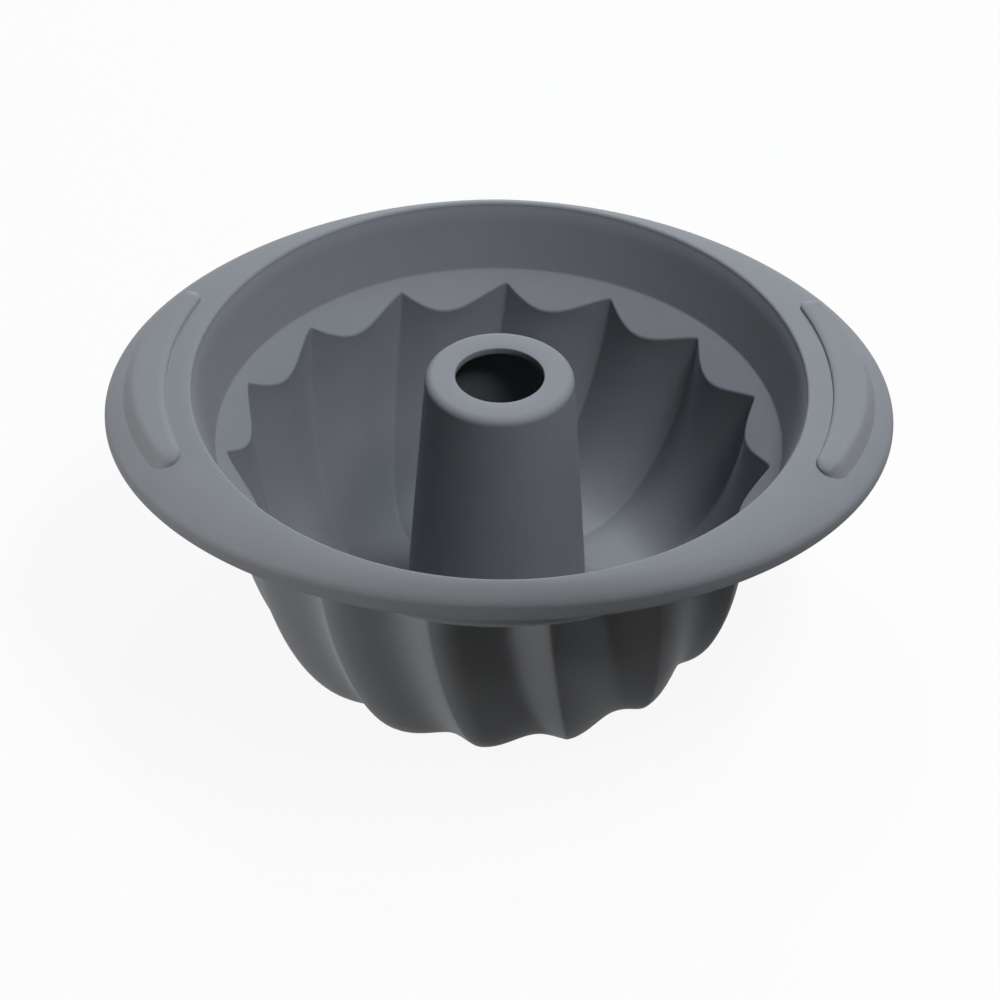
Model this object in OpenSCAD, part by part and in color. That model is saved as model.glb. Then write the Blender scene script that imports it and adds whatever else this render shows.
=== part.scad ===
// Fluted tube pan: a moulded silicone ring-cake pan with swirling flutes and an oval rim.
// It stands on the lobes of its fluted floor. The frame's origin is under the tube, +Z is up
// and +X runs through the right-hand grip.

/* [Rim] */
// Inside diameter at the top edge of the rim
rim_d = 220; // [190:1:250]
// Height of the rim's top edge above the resting face
rim_h = 115.2; // [95:0.2:135]
// Width of the rim at its ends, where the grips are
rim_end_w = 31.6; // [27:0.2:44]
// Width of the rim at the front and the back
rim_side_w = 6.2; // [5.2:0.1:20]
// Slope of the rim's arched sheet at its lip, in degrees
rim_fall = 50; // [20:0.5:55]
// Thickness of the rim's sheet, measured upright
sheet_t = 2.4; // [1.8:0.1:3.2]
// Thickness of the drooping lip
lip_t = 2.6; // [2.4:0.1:3.6]
// Height of the lip's upright face at the ends of the rim, where it is least
lip_face_h = 3.2; // [1:0.1:6]
// Rounding between the rim's sheet and its lip
lip_round = 1.2; // [0.6:0.1:2]

/* [Grips] */
// Height of the pads above the rim's top edge
grip_rise = 1.1; // [0.6:0.1:3]
// Width of a pad at its middle
grip_w = 14.9; // [11:0.1:16]
// Distance from the rim's outer edge to the outer foot of a pad
grip_inset = 7.5; // [5:0.1:9]
// Slant of the outer side of a pad, measured along the rim
grip_slant = 2.7; // [1.5:0.1:4]
// Half of the angle that a pad spans round the pan
grip_angle = 24; // [18:0.5:30]

/* [Collar and ledge] */
// Height of the plain wall above the ledge
collar_h = 25.4; // [20:0.2:34]
// Inward taper of the plain wall, from the rim to the ledge
collar_taper = 7.4; // [2:0.1:12]
// Slope of the ledge, in degrees
ledge_slope = 42; // [30:1:50]
// Thickness of the moulded wall
wall = 2; // [1.6:0.1:2.6]

/* [Flutes] */
// Number of flutes round the pan
flute_count = 15; // [11:1:18]
// Step from the foot of the plain wall in to the ridges, which start under the ledge
ridge_step = 2.25; // [1:0.05:6]
// Depth of the flutes under the ledge
flute_depth = 7.2; // [4:0.1:9]
// Depth of the flutes under the floor
floor_flute_depth = 3.2; // [2:0.1:5]
// Turn of the flutes from the ledge to the floor, in degrees
swirl = 14; // [0:1:24]

/* [Floor and tube] */
// Diameter of the circle on which the floor is lowest
floor_ring_d = 119.7; // [108:0.1:126]
// Height of the tube's foot above the resting face
foot_h = 19.8; // [16:0.2:26]
// Outside diameter of the tube at its foot
tube_foot_d = 66; // [62:0.2:72]
// Outside diameter of the tube at its top, before its edge is rounded
tube_top_d = 53.4; // [50:0.2:60]
// Height of the tube's top above the rim's top edge
tube_rise = 1.1; // [0:0.1:6]
// Diameter of the vent hole
vent_d = 32; // [24:0.2:36]
// Thickness of the tube's flat top
cap_t = 2.8; // [2:0.1:3.6]
// Rounding of the tube's top edge
cap_round = 3; // [1:0.1:4]

/* [Hidden] */
$fn = 96;

// Colours of the silicone, as the zones of the pan show it
rim_colour = [0.56, 0.57, 0.60];
wall_colour = [0.40, 0.41, 0.43];
tube_colour = [0.50, 0.51, 0.54];

// Height of the cut that gives each lobe of the floor a small flat to stand on
rest_flat = 0.8;
// Gap that keeps a pad's faceted foot clear of the faceted, arched sheet
seat_gap = 0.08;
// Rounding of the rim's inner edge, and of the lower edge of the lip
rim_edge = 0.8;
lip_edge = 0.5;

// How late the rim's sheet arches down: nearly level at first, steepest at the lip
rim_arch_share = 3.8;

// Shape of the ridge line: how full the side is, and how round its turn into the floor
side_fullness_share = 1.61;
floor_turn_share = 2.39;
// How the turn of the flutes grows on the way down: little at first, most near the floor
swirl_growth_share = 1.28;
// Turn that the flutes gain between the lowest ring and the tube, as a share of the swirl
inner_swirl_share = 0.645;
// How the depth of the flutes passes from that of the side to that of the floor
depth_growth_share = 0.8;
// Lean of the flutes' bulges to one side, and how sharp the creases between them are.
// Inside, the creases are sharp and the bulges round. Outside, the wall rounds the ridges.
inside_lean_share = 1.25;
inside_crease_share = 0.87;
outside_lean_share = 1.42;
outside_crease_share = 1.18;
// Bearing of the first crease at the ledge, in degrees
first_crease = 16.7;

// Facets: columns in a flute, rows down the side and of the floor, columns round the rim and
// along a pad, rows of the rim's sheet, of the lip's rounding and under a pad
flute_columns = 9;
side_rows = 5;
turn_rows = 3;
inner_rows = 3;
rim_columns = 96;
pad_columns = 16;
sheet_rows = 5;
round_rows = 4;
seat_rows = 4;
// Place of the joint between the side and the floor, as a share of the way to the lowest ring
joint_share = 0.6;

rim_r = rim_d / 2;
rim_length = rim_d + 2 * rim_end_w;
rim_width = rim_d + 2 * rim_side_w;
ledge_r = rim_r - collar_taper;
ledge_z = rim_h - collar_h;
ridge_r = ledge_r - ridge_step;
floor_r = floor_ring_d / 2;
foot_r = tube_foot_d / 2;
flute_pitch = 360 / flute_count;
columns = flute_count * flute_columns;

// Points where the collar's sides cut the underside of the rim's sheet
collar_draft = collar_taper / collar_h;
sheet_under_z = rim_h - sheet_t;
collar_top_r = rim_r - collar_draft * sheet_t;

// Top of the ridge line: there the underside of the ledge meets the ridges
ledge_drop = tan(ledge_slope);
ledge_skin = wall / cos(ledge_slope);
ridge_top_z = ledge_z - ledge_drop * (ledge_r - ridge_r) - ledge_skin;
ridge_low_z = -rest_flat;
ridge_fall = ridge_top_z - ridge_low_z;

// Step over which a slope of the ridge line is measured, as a share of its run
slope_step_share = 0.01;

// Closed skin over sections that stand in columns round the pan. Each section is a loop of points.
module ring_skin(sections, mirrored = false) {
    count = len(sections);
    loop = len(sections[0]);
    faces = [
        for (c = [0 : count - 1])
            for (m = [0 : loop - 1])
                let (
                    d = (c + 1) % count,
                    n = (m + 1) % loop,
                    a = c * loop + m,
                    b = d * loop + m,
                    e = d * loop + n,
                    f = c * loop + n
                )
                each (mirrored ? [[a, b, e], [a, e, f]] : [[a, e, b], [a, f, e]])
    ];
    polyhedron(points = [for (s = sections) each s], faces = faces, convexity = 10);
}

function around(r, z, bearing) = [r * cos(bearing), r * sin(bearing), z];

// The ridge line of the outside, as radius and height. The share s runs from 0 under the ledge
// to 1 at the lowest ring, and on to 2 at the foot of the tube.
function ridge_line(s) =
    s <= 1
        ? let (h = sin(90 * s))
          [
              floor_r + (ridge_r - floor_r)
                  * pow(max(0, 1 - pow(max(0, h), side_fullness_share)), 1 / floor_turn_share),
              ridge_top_z - ridge_fall * h
          ]
        : [
              floor_r - (floor_r - foot_r + wall) * sin(90 * (s - 1)),
              ridge_low_z + (foot_h - ridge_low_z) * (1 - cos(90 * (s - 1)))
          ];

// Direction from the outside into the wall, square to the ridge line
function into_wall(s) =
    s >= 2 || s <= 0
        ? [s >= 2 ? 1 : -1, 0]
        : let (
              run = ridge_line(min(2, s + slope_step_share)) - ridge_line(s - slope_step_share)
          )
          [run[1], -run[0]] / norm(run);

// Share of a flute's depth at the share u of its width: 0 in a crease, 1 on top of the bulge
function bulge(u, lean, crease) = pow(abs(sin(180 * pow(u, lean))), crease);

function depth_at(s) =
    s <= 1
        ? flute_depth + (floor_flute_depth - flute_depth) * pow(max(0, s), depth_growth_share)
        : floor_flute_depth * cos(90 * (s - 1));

function turn_at(s) =
    swirl * (s <= 1 ? pow(max(0, s), swirl_growth_share) : 1 + inner_swirl_share * (s - 1));

// Point of the moulding in a column, at the share s of the ridge line and a depth into the wall
function skin_point(column, s, depth) =
    let (
        line = ridge_line(s) + depth * into_wall(s),
        bearing = first_crease + column * flute_pitch / flute_columns + turn_at(s)
    )
    around(line[0], max(0, line[1]), bearing);

function flute_share(column) = (column % flute_columns) / flute_columns;
function inside_bulge(column) = bulge(flute_share(column), inside_lean_share, inside_crease_share);
function outside_bulge(column) = bulge(flute_share(column), outside_lean_share, outside_crease_share);

function inside_point(column, s) = skin_point(column, s, wall + depth_at(s) * inside_bulge(column));
function outside_point(column, s) = skin_point(column, s, depth_at(s) * outside_bulge(column));

// Share s at which the ledge's top and its underside cut into a flute
function inside_start(column) =
    asin((ledge_drop * (wall + flute_depth * inside_bulge(column)) - ledge_skin) / ridge_fall) / 90;
function outside_start(column) =
    asin(ledge_drop * flute_depth * outside_bulge(column) / ridge_fall) / 90;

function ring_point(column, r, z) = around(r, z, first_crease + column * flute_pitch / flute_columns);

module fluted_wall() {
    mitre = ledge_skin - ledge_drop * wall;
    color(wall_colour)
        ring_skin([
            for (c = [0 : columns - 1])
                [
                    ring_point(c, ledge_r, ledge_z),
                    for (i = [0 : side_rows])
                        let (first = inside_start(c))
                        inside_point(c, first + (joint_share - first) * i / side_rows),
                    for (i = [side_rows : -1 : 0])
                        let (first = outside_start(c))
                        outside_point(c, first + (joint_share - first) * i / side_rows),
                    ring_point(c, ledge_r + wall, ledge_z - mitre),
                    ring_point(c, ledge_r + wall, ledge_z)
                ]
        ]);
}

module channel_floor() {
    // Stations between which the ridge line lies below the resting face, which cuts it flat
    flat_start = asin(1 - rest_flat / ridge_fall) / 90;
    flat_end = 1 + acos(1 - rest_flat / (foot_h + rest_flat)) / 90;
    stations = [
        for (i = [0 : turn_rows]) joint_share + (flat_start - joint_share) * i / turn_rows,
        1,
        for (i = [0 : inner_rows]) flat_end + (2 - flat_end) * i / inner_rows
    ];
    last = len(stations) - 1;
    color(wall_colour)
        ring_skin([
            for (c = [0 : columns - 1])
                [
                    for (i = [last : -1 : 0]) inside_point(c, stations[i]),
                    for (i = [0 : last]) outside_point(c, stations[i])
                ]
        ], mirrored = true);
}

module collar() {
    color(wall_colour)
        rotate_extrude()
            polygon([
                [ledge_r, ledge_z],
                [ledge_r + wall, ledge_z],
                [collar_top_r + wall, sheet_under_z],
                [collar_top_r, sheet_under_z]
            ]);
}

// Height of the rim's sheet at a radius: a flat land over the collar, then an arch that ends at
// the edge radius in the slope of the lip
land_r = collar_top_r + wall;
function sheet_z(r, edge_r) =
    rim_h - tan(rim_fall) * (edge_r - land_r) / rim_arch_share
        * pow(max(0, r - land_r) / (edge_r - land_r), rim_arch_share);

// Outline of the rim, drawn in by an inset, at the angle a of the ellipse
function rim_outline(a, inset) =
    let (
        half = [rim_length / 2, rim_width / 2],
        out = [half[1] * cos(a), half[0] * sin(a)]
    )
    [half[0] * cos(a), half[1] * sin(a)] - inset * out / norm(out);

// Radius at which the arch of the sheet ends and the rounding of the lip begins
turn_w = lip_round * (1 - sin(rim_fall));
function edge_radius(a) = norm(rim_outline(a, turn_w));

module rim_flange() {
    // Places of the rows across the sheet, closest where it bends most
    rows = [for (i = [1 : sheet_rows]) pow(i / sheet_rows, 2 / rim_arch_share)];
    color(rim_colour)
        ring_skin([
            for (c = [0 : rim_columns - 1])
                let (
                    a = 360 * c / rim_columns,
                    joint = rim_outline(a, lip_t),
                    bearing = atan2(joint[1], joint[0]),
                    edge_r = edge_radius(a),
                    radii = [for (share = rows) land_r + (norm(joint) - land_r) * share]
                )
                [
                    around(collar_top_r, sheet_under_z, bearing),
                    for (t = [0 : 30 : 90])
                        around(rim_r + rim_edge * (1 - cos(t)), rim_h - rim_edge * (1 - sin(t)), bearing),
                    around(land_r, rim_h, bearing),
                    for (r = radii) around(r, sheet_z(r, edge_r), bearing),
                    for (i = [sheet_rows - 1 : -2 : 0])
                        around(radii[i], sheet_z(radii[i], edge_r) - sheet_t, bearing),
                    around(land_r, sheet_under_z, bearing)
                ]
        ], mirrored = true);
}

// Height at which the lip's rounding ends and its upright face begins, at an angle of the ellipse
function turn_z(a) = sheet_z(edge_radius(a), edge_radius(a)) - lip_round * cos(rim_fall);

module rim_lip() {
    lip_z = turn_z(0) - lip_face_h - lip_edge;
    color(rim_colour)
        ring_skin([
            for (c = [0 : rim_columns - 1])
                let (
                    a = 360 * c / rim_columns,
                    inner = rim_outline(a, lip_t),
                    middle = rim_outline(a, (lip_t + turn_w) / 2),
                    outer = rim_outline(a, 0),
                    edge_r = edge_radius(a)
                )
                [
                    for (p = [inner, middle]) [p[0], p[1], sheet_z(norm(p), edge_r)],
                    for (i = [0 : round_rows])
                        let (
                            lean = (90 - rim_fall) * (1 - i / round_rows),
                            p = rim_outline(a, lip_round * (1 - cos(lean)))
                        )
                        [p[0], p[1], turn_z(a) + lip_round * sin(lean)],
                    [outer[0], outer[1], lip_z + lip_edge],
                    let (p = rim_outline(a, lip_edge)) [p[0], p[1], lip_z],
                    [inner[0], inner[1], lip_z]
                ]
        ], mirrored = true);
}

// Raised pad on the rim. Its inner side follows a circle, its outer side the rim's outline,
// and its flat top lies level while the sheet under it falls away.
module grip(bearing) {
    top_z = rim_h + grip_rise;
    inner_r = rim_length / 2 - grip_inset - grip_w;
    // Height and draw-in of the pad's rounded ends, as shares, from the tip inwards
    tip_share = [[0.3, 0.9], [0.62, 0.5], [0.86, 0.2], [0.98, 0.05], [1, 0]];
    tips = len(tip_share);
    tip_round = grip_inset / 2;
    tip_angle = tip_round / inner_r * 180 / PI;
    stations = [
        for (i = [0 : tips - 1]) [-grip_angle + tip_angle * i / (tips - 1), tip_share[i]],
        for (i = [1 : pad_columns - 1])
            [(grip_angle - tip_angle) * (2 * i / pad_columns - 1), [1, 0]],
        for (i = [tips - 1 : -1 : 0]) [grip_angle - tip_angle * i / (tips - 1), tip_share[i]]
    ];
    sections = [for (s = stations) pad_section(s[0], s[1][0], tip_round * s[1][1], inner_r, top_z)];
    count = len(sections);
    loop = len(sections[0]);
    color(rim_colour)
        rotate([0, 0, bearing])
            polyhedron(
                points = [for (s = sections) each s],
                faces = [
                    [for (m = [0 : loop - 1]) m],
                    [for (m = [loop - 1 : -1 : 0]) (count - 1) * loop + m],
                    for (c = [0 : count - 2])
                        for (m = [0 : loop - 1])
                            let (
                                n = (m + 1) % loop,
                                a = c * loop + m,
                                b = (c + 1) * loop + m,
                                e = (c + 1) * loop + n,
                                f = c * loop + n
                            )
                            each [[a, b, e], [a, e, f]]
                ],
                convexity = 6
            );
}

// Radius of the rim's outline, less an inset, at a bearing
function outline_r(bearing, inset) =
    let (
        a = atan2(sin(bearing) * rim_length, cos(bearing) * rim_width),
        p = rim_outline(a, inset)
    )
    norm(p);

// Sides of a pad: place across the side, as a share of its slant, and share of the pad's rise
inner_side_share = [[0, 0], [0.25, 0.6], [0.7, 0.92], [1.3, 1]];
outer_side_share = [[1.5, 1], [1, 0.93], [0, 0]];

// Section of a pad at a bearing. Height and draw-in set the share of its rise and its ends.
function pad_section(bearing, height, draw_in, inner_r, top_z) =
    let (
        first = inner_r + draw_in,
        last = outline_r(bearing, grip_inset) - draw_in,
        edge_r = outline_r(bearing, turn_w),
        slant = min(grip_slant, (last - first) / 3),
        rise = [
            for (p = inner_side_share) [first + slant * p[0], p[1]],
            for (p = outer_side_share) [last - slant * p[0], p[1]]
        ]
    )
    [
        for (p = rise)
            let (base = sheet_z(p[0], edge_r) + seat_gap)
            around(p[0], base + (top_z - base) * height * p[1], bearing),
        for (i = [seat_rows - 1 : -1 : 1])
            let (r = first + (last - first) * i / seat_rows)
            around(r, sheet_z(r, edge_r) + seat_gap, bearing)
    ];

module grip_left() {
    grip(180);
}

module grip_right() {
    grip(0);
}

// Height at which the tube's straight side gives way to its cap
tube_top_z = rim_h + tube_rise;
cap_z = tube_top_z - cap_t - cap_round;
tube_draft = (tube_foot_d - tube_top_d) / 2 / (tube_top_z - foot_h);
function tube_r(z) = tube_top_d / 2 + (tube_top_z - z) * tube_draft;

module centre_tube() {
    color(tube_colour)
        rotate_extrude()
            polygon([
                [tube_r(foot_h) - wall, foot_h],
                [tube_r(foot_h), foot_h],
                [tube_r(cap_z), cap_z],
                [tube_r(cap_z) - wall, cap_z]
            ]);
}

module tube_cap() {
    edge_r = tube_r(tube_top_z - cap_round);
    color(tube_colour)
        rotate_extrude()
            polygon([
                [tube_r(cap_z) - wall, cap_z],
                [tube_r(cap_z), cap_z],
                for (a = [0 : 10 : 90])
                    [edge_r - cap_round * (1 - cos(a)), tube_top_z - cap_round * (1 - sin(a))],
                [vent_d / 2, tube_top_z],
                [vent_d / 2, tube_top_z - cap_t],
                [tube_r(cap_z) - wall, tube_top_z - cap_t]
            ]);
}

rim_flange();
rim_lip();
grip_left();
grip_right();
collar();
fluted_wall();
channel_floor();
centre_tube();
tube_cap();
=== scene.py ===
from math import atan2, cos, hypot, pi, radians, sin, sqrt, tan

import bpy
import numpy as np
from mathutils import Matrix, Vector


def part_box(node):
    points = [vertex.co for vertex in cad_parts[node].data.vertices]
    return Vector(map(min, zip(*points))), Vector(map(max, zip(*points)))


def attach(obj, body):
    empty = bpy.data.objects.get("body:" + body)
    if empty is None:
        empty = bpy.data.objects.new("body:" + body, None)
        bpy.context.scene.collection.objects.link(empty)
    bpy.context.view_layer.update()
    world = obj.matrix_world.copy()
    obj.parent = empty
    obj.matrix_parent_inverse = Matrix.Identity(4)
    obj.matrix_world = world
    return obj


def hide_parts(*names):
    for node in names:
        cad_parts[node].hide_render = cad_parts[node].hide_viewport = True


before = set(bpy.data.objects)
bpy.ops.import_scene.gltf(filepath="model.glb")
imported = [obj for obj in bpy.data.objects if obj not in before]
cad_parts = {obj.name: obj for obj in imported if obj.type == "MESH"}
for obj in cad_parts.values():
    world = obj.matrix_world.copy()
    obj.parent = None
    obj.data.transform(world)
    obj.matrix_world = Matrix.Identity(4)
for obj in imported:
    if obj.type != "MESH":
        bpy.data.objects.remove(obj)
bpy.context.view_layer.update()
MM = 0.001

# Camera. A long lens on a tripod in front of the pan and well above it, turned a little so that
# the far rim stands as level as it does in the photograph.
view_back = 962.1 * MM
view_rise = 733.8 * MM
view_pitch = radians(39.41)
view_yaw = radians(0.046)
view_roll = radians(0.86)
film_width = 36
lens_length = 121.73
rim_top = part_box("rim_flange")[1].z

ahead = Vector((sin(view_yaw) * cos(view_pitch), cos(view_yaw) * cos(view_pitch), -sin(view_pitch)))
level = Vector((cos(view_yaw), -sin(view_yaw), 0))
upward = level.cross(ahead)
camera_x = cos(view_roll) * level + sin(view_roll) * upward
camera_y = cos(view_roll) * upward - sin(view_roll) * level

camera = bpy.data.objects.new("camera", bpy.data.cameras.new("camera"))
camera.data.sensor_width = film_width
camera.data.lens = lens_length
camera.matrix_world = Matrix.Translation((0, -view_back, rim_top + view_rise)) @ Matrix(
    (camera_x, camera_y, -ahead)).transposed().to_4x4()
bpy.context.scene.collection.objects.link(camera)
bpy.context.scene.camera = camera
bpy.context.scene.view_settings.view_transform = "Standard"

# Fluted basin. The lower half of the plain collar, the sloping ledge with its scalloped edge, the
# swirling fluted side and the fluted floor of the batter ring, as one moulded silicone wall 2 mm
# thick. One straight flute is laid out here, and a node tree repeats it round the tube and swirls it.
wall = 2 * MM
flutes = 15
flute_span = 2 * pi / flutes
first_crease = radians(16.7)
swirl = radians(14)
swirl_growth = 1.28
inner_swirl = 0.645

seam_share = 0.55
ledge_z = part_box("fluted_wall")[1].z
ledge_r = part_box("fluted_wall")[1].x - wall
ledge_slope = radians(42)
ledge_skin = wall / cos(ledge_slope)
collar_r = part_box("collar")[1].x - wall
collar_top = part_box("collar")[1].z
collar_draft = (collar_r - ledge_r) / (collar_top - ledge_z)
seam_z = ledge_z + seam_share * (collar_top - ledge_z)
seam_r = ledge_r + collar_draft * (seam_z - ledge_z)

ridge_step = 2.25 * MM
ridge_r = ledge_r - ridge_step
ridge_top = ledge_z - tan(ledge_slope) * ridge_step - ledge_skin
ridge_low = -0.8 * MM
ridge_fall = ridge_top - ridge_low
floor_r = 59.85 * MM
foot_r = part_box("centre_tube")[1].x
foot_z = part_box("centre_tube")[0].z
side_fullness = 1.61
floor_turn = 2.39
tube_way = 2

side_depth = 7.2 * MM
floor_depth = 3.2 * MM
depth_growth = 0.8
inside_lean = 1.25
inside_crease = 0.87
outside_lean = 1.42
outside_crease = 1.18
crease_softness = 0.045

corner_round = 2.2 * MM
outer_round = 9 * MM
edge_round = 1.9 * MM
first_row = 3.4 * MM
flute_columns = 32
end_crowding = 0.75
round_rows = 7
side_rows = 50
weld_reach = 0.01 * MM
basin_cut_edge = radians(62)


def ridge_line(way):
    """Radius and height of the ridges: way is 0 under the ledge, 1 at the lowest ring, 2 at the tube."""
    fall = np.sin(np.minimum(way, 1) * pi / 2)
    bend = 1 - np.maximum(0, fall) ** side_fullness
    radius = floor_r + (ridge_r - floor_r) * bend ** (1 / floor_turn)
    height = ridge_top - ridge_fall * fall
    rise = np.clip(way - 1, 0, 1) * pi / 2
    radius = np.where(way > 1, floor_r - (floor_r - foot_r + wall) * np.sin(rise), radius)
    height = np.where(way > 1, ridge_low + (foot_z - ridge_low) * (1 - np.cos(rise)), height)
    return radius, height


def into_wall(way):
    """Direction from the outside into the wall, square to the ridge line."""
    step = 0.004
    before = ridge_line(np.minimum(way, tube_way) - step)
    after = ridge_line(np.minimum(way + step, tube_way))
    run, climb = after[0] - before[0], after[1] - before[1]
    length = np.hypot(run, climb)
    return climb / length, -run / length


def flute_depth(way):
    """Depth of the flutes: full under the ledge, less at the lowest ring, none at the tube."""
    side = side_depth + (floor_depth - side_depth) * np.clip(way, 0, 1) ** depth_growth
    return np.where(way > 1, floor_depth * np.cos(np.clip(way - 1, 0, 1) * pi / 2), side)


def bulge(share, lean, crease):
    """Share of a flute's depth across its width: 0 in the creases, 1 on top of the bulge."""
    plain = np.abs(np.sin(pi * share ** lean)) ** crease
    softened = np.sqrt(plain ** 2 + crease_softness ** 2) - crease_softness
    return softened / (sqrt(1 + crease_softness ** 2) - crease_softness)


def wall_points(way, depth):
    """Points of the wall on the half-plane of each column, a depth in from the ridge line."""
    radius, height = ridge_line(way)
    across, up = into_wall(way)
    return np.stack([radius + depth * across, np.maximum(0, height + depth * up)], -1)


def plain_ring(radius, height):
    """A radius and a height that are the same for every column of a flute."""
    return np.broadcast_to(np.array([radius, height]), (flute_columns + 1, 2))


def rounded(before, corner, after, radius):
    """Arc-like bend of each column between two straight runs that meet in a corner."""
    a, b = before - corner, after - corner
    a = a / np.linalg.norm(a, axis=-1, keepdims=True)
    b = b / np.linalg.norm(b, axis=-1, keepdims=True)
    half = np.arccos(np.clip((a * b).sum(-1), -1, 1)) / 2
    reach = (radius / np.tan(half))[..., None, None]
    middle = corner[..., None, :]
    start = middle + reach * a[..., None, :]
    end = middle + reach * b[..., None, :]
    t = np.linspace(0, 1, round_rows)[:, None]
    return (1 - t) ** 2 * start + 2 * t * (1 - t) * middle + t ** 2 * end


def way_of_drop(drop):
    """Way at which the ridge line lies a drop below its top."""
    return np.arcsin(np.clip(drop / ridge_fall, -1, 1)) / (pi / 2)


def ways_to_tube(first):
    """Ways of the rows of each column, evenly spaced from its first row to the tube."""
    u = np.linspace(0, 1, side_rows)
    return first[:, None] + (tube_way - first)[:, None] * u


def flute_loops():
    """Bearing of each column of a flute, its closed loop of points and each point's share of the swirl.

    A loop is laid out down the inside and up the outside, and handed on the other way round, so
    that its faces point outwards.
    """
    t = np.linspace(0, 1, flute_columns + 1)
    share = (1 - end_crowding) * t + end_crowding * (1 - np.cos(pi * t)) / 2
    inside = bulge(share, inside_lean, inside_crease)
    outside = bulge(share, outside_lean, outside_crease)
    slope = tan(ledge_slope)

    top_in, top_out = plain_ring(seam_r, seam_z), plain_ring(seam_r + wall, seam_z)
    corner_in = plain_ring(ledge_r, ledge_z)
    corner_out = plain_ring(ledge_r + wall, ledge_z - (ledge_skin - slope * wall))
    edge_way = way_of_drop(slope * (wall + side_depth * inside) - ledge_skin)
    edge = wall_points(edge_way, wall + side_depth * inside)
    edge[:, 1] = ledge_z - slope * (ledge_r - edge[:, 0])
    under_way = way_of_drop(slope * side_depth * outside)
    under = wall_points(under_way, side_depth * outside)
    under[:, 1] = ledge_z - slope * (ledge_r - under[:, 0]) - ledge_skin
    round_way = first_row / ridge_fall / (pi / 2)
    ways_in = ways_to_tube(edge_way + round_way)
    ways_out = ways_to_tube(under_way + round_way)[:, ::-1]
    side_in = wall_points(ways_in, wall + flute_depth(ways_in) * inside[:, None])
    side_out = wall_points(ways_out, flute_depth(ways_out) * outside[:, None])
    runs = [
        (top_in[:, None], 0),
        (rounded(top_in, corner_in, edge, corner_round), 0),
        (rounded(corner_in, edge, side_in[:, 0], edge_round), edge_way),
        (side_in, ways_in),
        (side_out, ways_out),
        (rounded(side_out[:, -1], under, corner_out, edge_round), under_way),
        (rounded(under, corner_out, top_out, outer_round), 0),
        (top_out[:, None], 0),
    ]
    points = np.concatenate([run for run, way in runs], 1)
    ways = np.concatenate([
        np.broadcast_to(np.asarray(way, float).reshape(len(np.atleast_1d(way)), -1), run.shape[:2])
        for run, way in runs], 1)
    turn = np.where(ways > 1, 1 + inner_swirl * (ways - 1), np.clip(ways, 0, 1) ** swirl_growth)
    return share * flute_span, points[:, ::-1], turn[:, ::-1]


def skin(name, sections, closed_round=True, ends_capped=False):
    """Quad skin over sections, each a closed loop of points, that follow each other round the pan."""
    count, loop = sections.shape[:2]
    index = np.arange(count * loop).reshape(count, loop)
    if closed_round:
        here, there = index, np.roll(index, -1, 0)
    else:
        here, there = index[:-1], index[1:]
    quads = np.stack([here, np.roll(here, -1, 1), np.roll(there, -1, 1), there], -1).reshape(-1, 4)
    faces = quads.tolist()
    if ends_capped:
        faces += [index[0, ::-1].tolist(), index[-1].tolist()]
    mesh = bpy.data.meshes.new(name)
    mesh.from_pydata(sections.reshape(-1, 3).tolist(), [], faces)
    mesh.shade_smooth()
    piece = bpy.data.objects.new(name, mesh)
    bpy.context.scene.collection.objects.link(piece)
    return piece


deep_grey = (0.236, 0.249, 0.27, 1)
pale_grey = (0.262, 0.276, 0.298, 1)
least_rough, most_rough = 0.5, 0.64
surface_gloss = 0.1
bloom, bloom_spread = 0.02, 0.45
mottle_scale, mottle_detail = 55, 3
grain_scale, grain_detail = 2600, 2
grain_shade = 0.12
grain_bump, grain_depth = 0.25, 0.05 * MM


def silicone_material():
    """Dull blue-grey silicone: a fine moulded grain, a faint mottle and a soft bloom."""
    made = bpy.data.materials.new("silicone")
    made.use_nodes = True
    nodes, links = made.node_tree.nodes, made.node_tree.links
    shader = nodes["Principled BSDF"]
    shader.inputs["Specular IOR Level"].default_value = surface_gloss
    shader.inputs["Sheen Weight"].default_value = bloom
    shader.inputs["Sheen Roughness"].default_value = bloom_spread
    place = nodes.new("ShaderNodeTexCoord")

    def noise(scale, detail):
        node = nodes.new("ShaderNodeTexNoise")
        node.inputs["Scale"].default_value = scale
        node.inputs["Detail"].default_value = detail
        links.new(place.outputs["Object"], node.inputs["Vector"])
        return node.outputs["Fac"]

    mottle = noise(mottle_scale, mottle_detail)
    grain = noise(grain_scale, grain_detail)
    tint = nodes.new("ShaderNodeMix")
    tint.data_type = "RGBA"
    tint.inputs["A"].default_value = deep_grey
    tint.inputs["B"].default_value = pale_grey
    links.new(mottle, tint.inputs["Factor"])
    fleck = nodes.new("ShaderNodeMix")
    fleck.data_type = "RGBA"
    fleck.blend_type = "MULTIPLY"
    fleck.inputs["Factor"].default_value = grain_shade
    links.new(tint.outputs["Result"], fleck.inputs["A"])
    links.new(grain, fleck.inputs["B"])
    links.new(fleck.outputs["Result"], shader.inputs["Base Color"])
    dullness = nodes.new("ShaderNodeMapRange")
    dullness.inputs["To Min"].default_value = least_rough
    dullness.inputs["To Max"].default_value = most_rough
    links.new(mottle, dullness.inputs["Value"])
    links.new(dullness.outputs["Result"], shader.inputs["Roughness"])
    bump = nodes.new("ShaderNodeBump")
    bump.inputs["Strength"].default_value = grain_bump
    bump.inputs["Distance"].default_value = grain_depth
    links.new(grain, bump.inputs["Height"])
    links.new(bump.outputs["Normal"], shader.inputs["Normal"])
    return made


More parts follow.
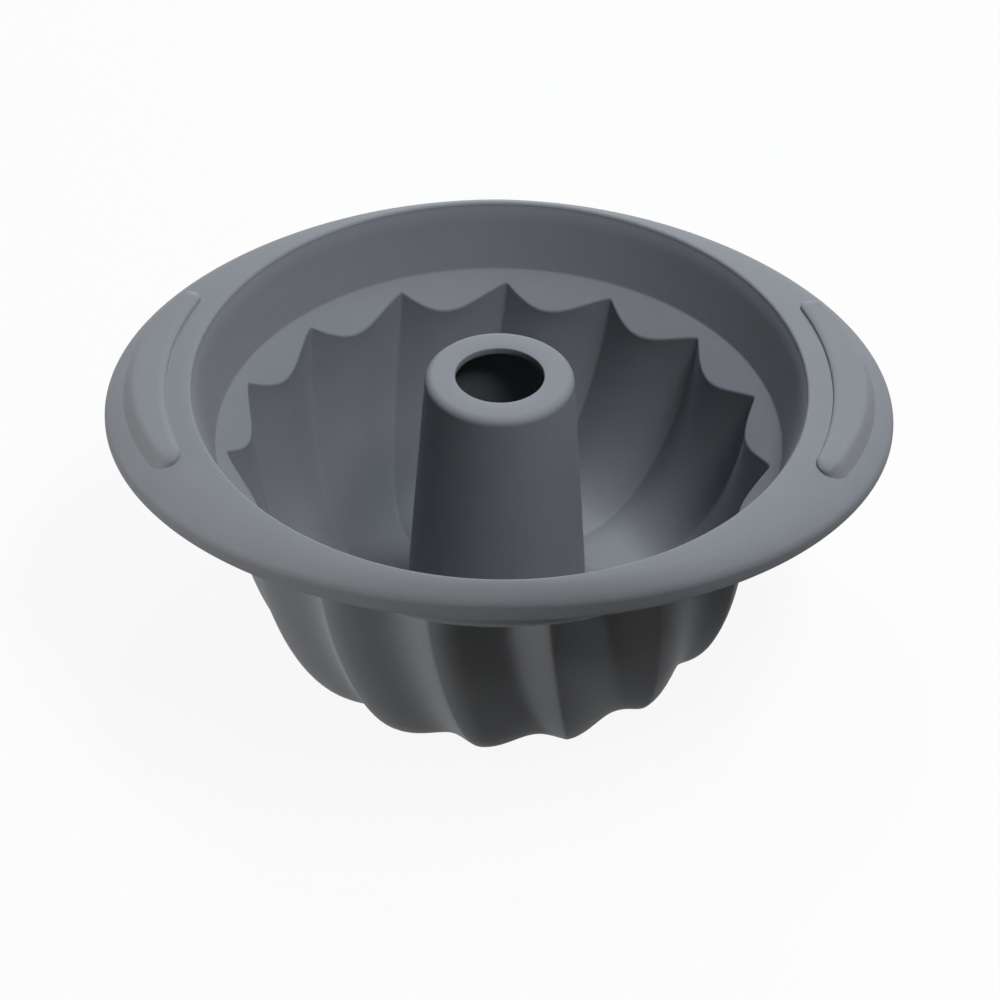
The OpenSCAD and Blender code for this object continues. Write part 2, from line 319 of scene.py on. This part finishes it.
def flute_ring_tree():
    """Repeats one flute round the tube, welds the copies and swirls them."""
    tree = bpy.data.node_groups.new("flutes_round_the_tube", "GeometryNodeTree")
    nodes, links = tree.nodes, tree.links

    def entry(name, kind, value=None):
        made = tree.interface.new_socket(name, in_out="INPUT", socket_type=kind)
        if value is not None:
            made.default_value = value

    def calc(operation, a, b):
        node = nodes.new("ShaderNodeMath")
        node.operation = operation
        for socket, value in zip(node.inputs, (a, b)):
            if isinstance(value, (int, float)):
                socket.default_value = value
            else:
                links.new(value, socket)
        return node.outputs["Value"]

    entry("Flute", "NodeSocketGeometry")
    entry("Flutes", "NodeSocketInt", flutes)
    entry("First Crease", "NodeSocketFloat", first_crease)
    entry("Swirl", "NodeSocketFloat", swirl)
    entry("Weld", "NodeSocketFloat", weld_reach)
    entry("Silicone", "NodeSocketMaterial")
    tree.interface.new_socket("Basin", in_out="OUTPUT", socket_type="NodeSocketGeometry")
    given = nodes.new("NodeGroupInput").outputs

    centres = nodes.new("GeometryNodeMeshLine")
    centres.inputs["Offset"].default_value = (0, 0, 0)
    links.new(given["Flutes"], centres.inputs["Count"])
    number = nodes.new("GeometryNodeInputIndex").outputs["Index"]
    span = calc("DIVIDE", 2 * pi, given["Flutes"])
    bearing = calc("ADD", given["First Crease"], calc("MULTIPLY", number, span))
    turned = nodes.new("ShaderNodeCombineXYZ")
    links.new(bearing, turned.inputs["Z"])
    copies = nodes.new("GeometryNodeInstanceOnPoints")
    links.new(centres.outputs["Mesh"], copies.inputs["Points"])
    links.new(given["Flute"], copies.inputs["Instance"])
    links.new(turned.outputs["Vector"], copies.inputs["Rotation"])
    whole = nodes.new("GeometryNodeRealizeInstances")
    links.new(copies.outputs["Instances"], whole.inputs["Geometry"])
    weld = nodes.new("GeometryNodeMergeByDistance")
    links.new(whole.outputs["Geometry"], weld.inputs["Geometry"])
    links.new(given["Weld"], weld.inputs["Distance"])

    share = nodes.new("GeometryNodeInputNamedAttribute")
    share.data_type = "FLOAT"
    share.inputs["Name"].default_value = "swirl_share"
    swirl_share = next(socket for socket in share.outputs if socket.enabled and socket.type == "VALUE")
    spun = nodes.new("ShaderNodeVectorRotate")
    spun.rotation_type = "Z_AXIS"
    links.new(nodes.new("GeometryNodeInputPosition").outputs["Position"], spun.inputs["Vector"])
    links.new(calc("MULTIPLY", swirl_share, given["Swirl"]), spun.inputs["Angle"])
    moved = nodes.new("GeometryNodeSetPosition")
    links.new(weld.outputs["Geometry"], moved.inputs["Geometry"])
    links.new(spun.outputs["Vector"], moved.inputs["Position"])
    coat = nodes.new("GeometryNodeSetMaterial")
    links.new(moved.outputs["Geometry"], coat.inputs["Geometry"])
    links.new(given["Silicone"], coat.inputs["Material"])
    links.new(coat.outputs["Geometry"], nodes.new("NodeGroupOutput").inputs["Basin"])
    return tree


def finish_mesh(piece, cut_edge):
    """Turns the evaluated object into a plain mesh and keeps only its hidden cut edges sharp."""
    bpy.context.view_layer.update()
    made = bpy.data.meshes.new_from_object(piece.evaluated_get(bpy.context.evaluated_depsgraph_get()))
    piece.modifiers.clear()
    piece.data = made
    made.set_sharp_from_angle(angle=cut_edge)


silicone = silicone_material()
bearings, points, turn = flute_loops()
flute_sections = np.stack([
    points[..., 0] * np.cos(bearings)[:, None],
    points[..., 0] * np.sin(bearings)[:, None],
    points[..., 1]], -1)
basin = skin("fluted_basin", flute_sections, closed_round=False)
swirl_share = basin.data.attributes.new("swirl_share", "FLOAT", "POINT")
swirl_share.data.foreach_set("value", turn.ravel().astype(np.float32))
basin.data.materials.append(silicone)
ring = basin.modifiers.new("flutes", "NODES")
ring.node_group = flute_ring_tree()
for socket in ring.node_group.interface.items_tree:
    if socket.name == "Silicone":
        ring[socket.identifier] = silicone
finish_mesh(basin, basin_cut_edge)
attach(basin, "root")
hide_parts("fluted_wall", "channel_floor")

# Rim. The upper half of the collar, the rounded rim edge, the wide sheet that falls away to the
# drooping lip, and the lip itself, all of the same silicone moulding. Its outline is an ellipse,
# wider at the ends, where the grips are.
sheet = 2.4 * MM
lip = 2.6 * MM
half_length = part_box("rim_lip")[1].x
half_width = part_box("rim_lip")[1].y
lip_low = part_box("rim_lip")[0].z
side_fall, end_fall, fall_growth = 2.7 * MM, 9.3 * MM, 0.8
side_arch, end_arch, arch_growth = 1.5, 3.7, 0.5
front_sag = 1.1 * MM
early_fall = 0.3

rim_edge = 1.1 * MM
turn_in = 1.5 * MM
lip_bend = 2 * MM
lip_edge = 0.5 * MM
under_round = 0.6 * MM
land_r = collar_r + wall
rim_r = collar_r + collar_draft * sheet
level_r = rim_r + rim_edge
under_r = land_r + under_round

rim_columns = 320
collar_row_shares = (0, 0.5, 0.92)
rim_edge_rows = 8
sheet_rows, sheet_start, sheet_crowding = 24, 0.05, 0.7
late_lean = 3
lip_bend_rows = 11
lip_face_shares = (0.33, 0.67, 1)
outer_edge_rows, inner_edge_rows = 5, 4
under_round_rows = 5
under_rows = 14
rim_cut_edge = radians(55)


def sheet_form(edge, bearing):
    """Fall of the sheet and how late it arches down, from the narrow sides to the wide ends."""
    share = max(0, edge + turn_in - half_width) / (half_length - half_width)
    fall = side_fall + (end_fall - side_fall) * share ** fall_growth
    fall -= front_sag * sin(bearing) * (1 - share)
    return fall, side_arch + (end_arch - side_arch) * share ** arch_growth


def sheet_height(radius, edge, bearing):
    """Top of the sheet: nearly level at the collar, then arching down to its edge radius."""
    fall, arch = sheet_form(edge, bearing)
    share = max(0, radius - level_r) / (edge - level_r)
    return rim_top - fall * (early_fall * share + (1 - early_fall) * share ** arch)


def outline(angle, inset):
    """Point of the rim's outline, drawn in square to it."""
    out = np.array([half_width * cos(angle), half_length * sin(angle)])
    return np.array([half_length * cos(angle), half_width * sin(angle)]) - inset * out / hypot(*out)


def quarter_turn(rows):
    """Angles of the rows of a rounding, from 0 to a right angle."""
    return np.linspace(0, pi / 2, rows)


def ring_point(bearing, radius, height):
    """Point at a bearing, a radius and a height."""
    return radius * cos(bearing), radius * sin(bearing), height


def lip_point(angle, inset, height):
    """Point at an inset from the rim's outline and at a height."""
    x, y = outline(angle, inset)
    return x, y, height


def collar_and_edge(bearing):
    """Rows up the inside of the upper collar and over the rounded rim edge."""
    loop = []
    for share in collar_row_shares:
        height = seam_z + share * (rim_top - rim_edge - seam_z)
        loop.append(ring_point(bearing, ledge_r + collar_draft * (height - ledge_z), height))
    for a in quarter_turn(rim_edge_rows):
        radius = rim_r + rim_edge * (1 - cos(a))
        loop.append(ring_point(bearing, radius, rim_top - rim_edge * (1 - sin(a))))
    return loop


def sheet_top(bearing, edge_point):
    """Rows over the sheet, which lean from the collar's bearing to that of the lip's bend."""
    edge = hypot(*edge_point)
    turned = atan2(edge_point[1], edge_point[0]) - bearing
    turned = (turned + pi) % (2 * pi) - pi
    loop = []
    for share in np.linspace(sheet_start, 1, sheet_rows) ** sheet_crowding:
        radius = level_r + (edge - level_r) * share
        lean = bearing + turned * share ** late_lean
        loop.append(ring_point(lean, radius, sheet_height(radius, edge, bearing)))
    return loop


def lip_rows(angle, bearing, edge):
    """Rows round the lip's soft bend, down its face and round its lower edge."""
    fall, arch = sheet_form(edge, bearing)
    slope = atan2(fall * (early_fall + (1 - early_fall) * arch), edge - level_r)
    turn_drop = turn_in * tan(slope)
    face_z = rim_top - fall - turn_drop - lip_bend
    loop = []
    for t in np.linspace(0, 1, lip_bend_rows)[1:]:
        drop = 2 * t * (1 - t) * turn_drop + t ** 2 * (turn_drop + lip_bend)
        loop.append(lip_point(angle, turn_in * (1 - t) ** 2, rim_top - fall - drop))
    for share in lip_face_shares:
        loop.append(lip_point(angle, 0, face_z + share * (lip_low + lip_edge - face_z)))
    for a in quarter_turn(outer_edge_rows)[1:]:
        loop.append(lip_point(angle, lip_edge * (1 - cos(a)), lip_low + lip_edge * (1 - sin(a))))
    for a in quarter_turn(inner_edge_rows):
        loop.append(lip_point(angle, lip - lip_edge * (1 - sin(a)), lip_low + lip_edge * (1 - cos(a))))
    return loop


def underside(angle, bearing, edge):
    """Rows back under the sheet to the collar's outside, and down it to the seam with the basin."""
    outer_r = hypot(*outline(angle, lip + under_round))
    outer_z = sheet_height(outer_r, edge, bearing) - sheet
    loop = []
    for a in quarter_turn(under_round_rows):
        inset = lip + under_round * (1 - cos(a))
        loop.append(lip_point(angle, inset, outer_z - under_round * (1 - sin(a))))
    for share in np.linspace(1, 0, under_rows)[1:] ** sheet_crowding:
        radius = under_r + (outer_r - under_r) * share
        loop.append(ring_point(bearing, radius, sheet_height(radius, edge, bearing) - sheet))
    for a in quarter_turn(under_round_rows)[1:]:
        height = rim_top - sheet - under_round * (1 - cos(a))
        loop.append(ring_point(bearing, under_r - under_round * sin(a), height))
    loop.append(ring_point(bearing, seam_r + wall, seam_z))
    return loop


def rim_section(angle):
    """Closed loop of the rim in one plane, from the collar's inside over the lip to its outside."""
    joint = outline(angle, lip)
    bearing = atan2(joint[1], joint[0])
    edge_point = outline(angle, turn_in)
    edge = hypot(*edge_point)
    loop = collar_and_edge(bearing) + sheet_top(bearing, edge_point)
    return loop + lip_rows(angle, bearing, edge) + underside(angle, bearing, edge)


rim = skin("rim", np.array([rim_section(a) for a in 2 * pi * np.arange(rim_columns) / rim_columns]))
rim.data.materials.append(silicone)
rim.data.set_sharp_from_angle(angle=rim_cut_edge)
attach(rim, "root")
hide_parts("rim_flange", "rim_lip", "collar")

# Centre tube. It carries heat to the middle of the cake: a tapered tube of the same silicone that
# grows out of the fluted floor, with a flat top, a soft outer edge and a plain round vent hole.
tube_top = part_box("tube_cap")[1].z
tube_top_r = 26.7 * MM
tube_draft = (foot_r - tube_top_r) / (tube_top - foot_z)
cap = 2.8 * MM
cap_low = tube_top - cap
cap_round = 3 * MM
vent_r = 16 * MM
vent_edge = 0.35 * MM
foot_ease = 14 * MM
bore_start = cap_low - 4 * under_round

tube_columns = 180
outside_rows, bore_rows = 24, 20
cap_round_rows, vent_edge_rows, bore_round_rows = 11, 4, 5
tube_cut_edge = radians(55)


def tube_radius(height):
    """Outside of the tube: upright at its foot, where it leaves the floor, and then tapering."""
    up = np.maximum(0, height - foot_z)
    eased = np.where(up < foot_ease, up ** 2 / (2 * foot_ease), up - foot_ease / 2)
    straight = tube_top - foot_z - foot_ease / 2
    return foot_r - tube_draft * eased * (tube_top - foot_z) / straight


def tube_profile():
    """Closed loop of the tube's wall, from the foot up the bore, over the cap and down the outside.

    It is laid out from the outside inwards, and handed on the other way round.
    """
    edge_z = tube_top - cap_round
    edge_r = tube_radius(edge_z)
    profile = [(tube_radius(z), z) for z in np.linspace(foot_z, edge_z, outside_rows)]
    for a in quarter_turn(cap_round_rows)[1:]:
        profile.append((edge_r - cap_round * (1 - cos(a)), edge_z + cap_round * sin(a)))
    profile.append(((edge_r - cap_round + vent_r) / 2, tube_top))
    for a in quarter_turn(vent_edge_rows):
        profile.append((vent_r + vent_edge * (1 - sin(a)), tube_top - vent_edge * (1 - cos(a))))
    for a in quarter_turn(vent_edge_rows):
        profile.append((vent_r + vent_edge * (1 - cos(a)), cap_low + vent_edge * (1 - sin(a))))
    bore_r = tube_radius(cap_low) - wall
    for a in quarter_turn(bore_round_rows):
        profile.append((bore_r - under_round * (1 - sin(a)), cap_low - under_round * (1 - cos(a))))
    for z in np.linspace(bore_start, foot_z, bore_rows):
        profile.append((tube_radius(z) - wall, z))
    return np.array(profile[::-1], float)


profile = tube_profile()
turns = 2 * pi * np.arange(tube_columns) / tube_columns
tube = skin("tube_skin", np.stack([
    profile[None, :, 0] * np.cos(turns)[:, None],
    profile[None, :, 0] * np.sin(turns)[:, None],
    np.broadcast_to(profile[None, :, 1], (tube_columns, len(profile)))], -1))
tube.data.materials.append(silicone)
tube.data.set_sharp_from_angle(angle=tube_cut_edge)
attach(tube, "root")
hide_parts("centre_tube", "tube_cap")

# Grip pads. A raised silicone pad on each end of the rim, moulded with it, for a thumb in an oven
# glove. Its top is level, its inner side is short and full, and its outer side is longer and slopes.
pad_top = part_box("grip_left")[1].z
pad_width = 14.9 * MM
pad_inset = 7.5 * MM
pad_inner_r = half_length - pad_inset - pad_width
pad_half_angle = radians(24)
pad_sunk = 0.5 * MM
pad_foot = 0.5 * MM
inner_shoulder = 3.2 * MM
outer_slope = 2.7 * MM
outer_bend = 1.6 * MM
nose = 5.2 * MM

inner_shoulder_share, outer_slope_share, outer_bend_share = 0.42, 0.3, 0.2
sunk = -1
inner_foot_shares = ((-1, sunk), (-0.5, 0.01), (0, 0.08))
outer_foot_shares = ((0.6, 0.015), (1.4, sunk))
side_share = 0.42
crest_shares = (0.25, 0.5, 0.75)
slope_top_share, slope_low_share = 0.87, 0.06
nose_fullness = 0.8
nose_draw = 0.95
shoulder_rows, outer_rows, nose_rows, pad_stations = 11, 6, 18, 96


def outline_radius(bearing, inset):
    """Radius of the rim's outline, less an inset, at a bearing."""
    return hypot(*outline(atan2(sin(bearing) * half_length, cos(bearing) * half_width), inset))


def pad_loop(bearing, tall, draw_in):
    """Closed loop of a pad at a bearing: the inner foot, over the top, the outer foot and below.

    A place is a radius and a share of the pad's height over the sheet, or lies sunk in the sheet.
    """
    first = pad_inner_r + draw_in
    last = outline_radius(bearing, pad_inset) - draw_in
    width = last - first
    shoulder = min(inner_shoulder, width * inner_shoulder_share)
    slope = min(outer_slope, width * outer_slope_share)
    bend = min(outer_bend, width * outer_bend_share)
    places = [(first + pad_foot * out, share) for out, share in inner_foot_shares]
    for a in quarter_turn(shoulder_rows):
        places.append((first + shoulder * (1 - cos(a)), side_share + (1 - side_share) * sin(a)))
    for share in crest_shares:
        places.append((first + shoulder + share * (width - shoulder - slope - bend), 1))
    for t in np.linspace(0, 1, outer_rows):
        places.append((last - slope - bend * (1 - t), 1 - (1 - slope_top_share) * t ** 2))
    for t in np.linspace(0, 1, outer_rows)[1:]:
        places.append((last - slope * (1 - t), slope_top_share * (1 - t) + slope_low_share * t))
    places += [(last + pad_foot * out, share) for out, share in outer_foot_shares]
    edge = outline_radius(bearing, turn_in)
    loop = []
    for radius, share in places:
        base = sheet_height(radius, edge, bearing)
        height = base - pad_sunk if share == sunk else base + (pad_top - base) * share * tall
        loop.append(ring_point(bearing, radius, height))
    return loop


def pad_sections(middle):
    """Loops of a pad from end to end: they grow out of one rounded nose and shrink into the other."""
    tip = nose / pad_inner_r
    first_nose = [(-pad_half_angle + tip * (1 - cos(a)), sin(a)) for a in quarter_turn(nose_rows)[:-1]]
    between = np.linspace(-pad_half_angle + tip, pad_half_angle - tip, pad_stations)
    last_nose = [(-b, full) for b, full in first_nose[::-1]]
    stations = first_nose + [(b, 1) for b in between] + last_nose
    return np.array([
        pad_loop(middle + b, full ** nose_fullness, nose * (1 - full) * nose_draw) for b, full in stations])


for side, middle in (("left", pi), ("right", 0)):
    pad = skin("grip_pad_" + side, pad_sections(middle), closed_round=False, ends_capped=True)
    pad.data.materials.append(silicone)
    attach(pad, "root")
    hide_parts("grip_" + side)

# Floor and light. A pale table that keeps a soft shadow, in a plain white surrounding. Four soft
# lamps hang high over the pan, one stands behind it, and three small ones stand level with its side.
table_reach = 6.0
table_dark = (0.03, 0.025, 0.02, 1)
table_pale = (0.8, 0.8, 0.8, 1)
table_glow = 0.92
white = (1, 1, 1, 1)
light_of_surrounding, look_of_surrounding = 0.02, 1

floor = bpy.data.objects.new("floor", bpy.data.meshes.new("floor"))
floor.data.from_pydata(
    [(-table_reach, -table_reach, 0), (table_reach, -table_reach, 0),
     (table_reach, table_reach, 0), (-table_reach, table_reach, 0)], [], [(0, 1, 2, 3)])
bpy.context.scene.collection.objects.link(floor)


def seen_directly(nodes, links):
    """1 for what the camera, a gloss or clear matter sees, 0 for light that falls on the object."""
    path = nodes.new("ShaderNodeLightPath")
    seen = path.outputs["Is Camera Ray"]
    for name in ("Is Glossy Ray", "Is Transmission Ray"):
        either = nodes.new("ShaderNodeMath")
        either.operation = "MAXIMUM"
        links.new(seen, either.inputs[0])
        links.new(path.outputs[name], either.inputs[1])
        seen = either.outputs["Value"]
    return seen


def table_material():
    """A table that looks pale, with the pan's shadow on it, and throws little light at the pan."""
    made = bpy.data.materials.new("table")
    made.use_nodes = True
    nodes, links = made.node_tree.nodes, made.node_tree.links
    nodes.clear()
    dull = nodes.new("ShaderNodeBsdfDiffuse")
    dull.inputs["Color"].default_value = table_dark
    pale = nodes.new("ShaderNodeBsdfDiffuse")
    pale.inputs["Color"].default_value = table_pale
    glow = nodes.new("ShaderNodeEmission")
    glow.inputs["Strength"].default_value = 1
    shown = nodes.new("ShaderNodeMixShader")
    shown.inputs["Fac"].default_value = table_glow
    links.new(pale.outputs["BSDF"], shown.inputs[1])
    links.new(glow.outputs["Emission"], shown.inputs[2])
    mixed = nodes.new("ShaderNodeMixShader")
    links.new(seen_directly(nodes, links), mixed.inputs["Fac"])
    links.new(dull.outputs["BSDF"], mixed.inputs[1])
    links.new(shown.outputs["Shader"], mixed.inputs[2])
    links.new(mixed.outputs["Shader"], nodes.new("ShaderNodeOutputMaterial").inputs["Surface"])
    return made


floor.data.materials.append(table_material())

world = bpy.data.worlds.new("studio")
bpy.context.scene.world = world
world.use_nodes = True
nodes, links = world.node_tree.nodes, world.node_tree.links
sky = nodes["Background"]
strength = nodes.new("ShaderNodeMapRange")
strength.inputs["To Min"].default_value = light_of_surrounding
strength.inputs["To Max"].default_value = look_of_surrounding
links.new(seen_directly(nodes, links), strength.inputs["Value"])
links.new(strength.outputs["Result"], sky.inputs["Strength"])
sky.inputs["Color"].default_value = white

lamp_distance = 1.5
large, small = 0.3, 0.11


def soft_lamp(name, azimuth, elevation, size, power, colour):
    """Square soft box, turned to the middle of the pan. Azimuth 0 is in front and 90 on the right."""
    lamp = bpy.data.lights.new(name, "AREA")
    lamp.energy = power
    lamp.size = size
    lamp.color = colour
    made = bpy.data.objects.new(name, lamp)
    a, e = radians(azimuth), radians(elevation)
    away = Vector((sin(a) * cos(e), -cos(a) * cos(e), sin(e)))
    made.location = away * lamp_distance + Vector((0, 0, rim_top / 2))
    made.rotation_euler = away.to_track_quat("Z", "Y").to_euler()
    bpy.context.scene.collection.objects.link(made)


soft_lamp("key", azimuth=36, elevation=60, size=large, power=5.2, colour=(1, 0.98, 0.95))
soft_lamp("key_right", azimuth=62, elevation=67, size=large, power=7.2, colour=(0.9, 0.94, 1))
soft_lamp("right", azimuth=90, elevation=70, size=large, power=3.8, colour=(0.9, 0.94, 1))
soft_lamp("right_low", azimuth=98, elevation=0, size=small, power=2.2, colour=(0.95, 0.97, 1))
soft_lamp("back_top", azimuth=186, elevation=66, size=large, power=5.6, colour=(0.93, 0.96, 1))
soft_lamp("back", azimuth=180, elevation=16, size=large, power=7, colour=(0.93, 0.97, 1))
soft_lamp("left_low", azimuth=287, elevation=0, size=small, power=8.8, colour=(1, 0.98, 0.96))
soft_lamp("front_low", azimuth=320, elevation=0, size=small, power=1.7, colour=(1, 0.95, 0.9))
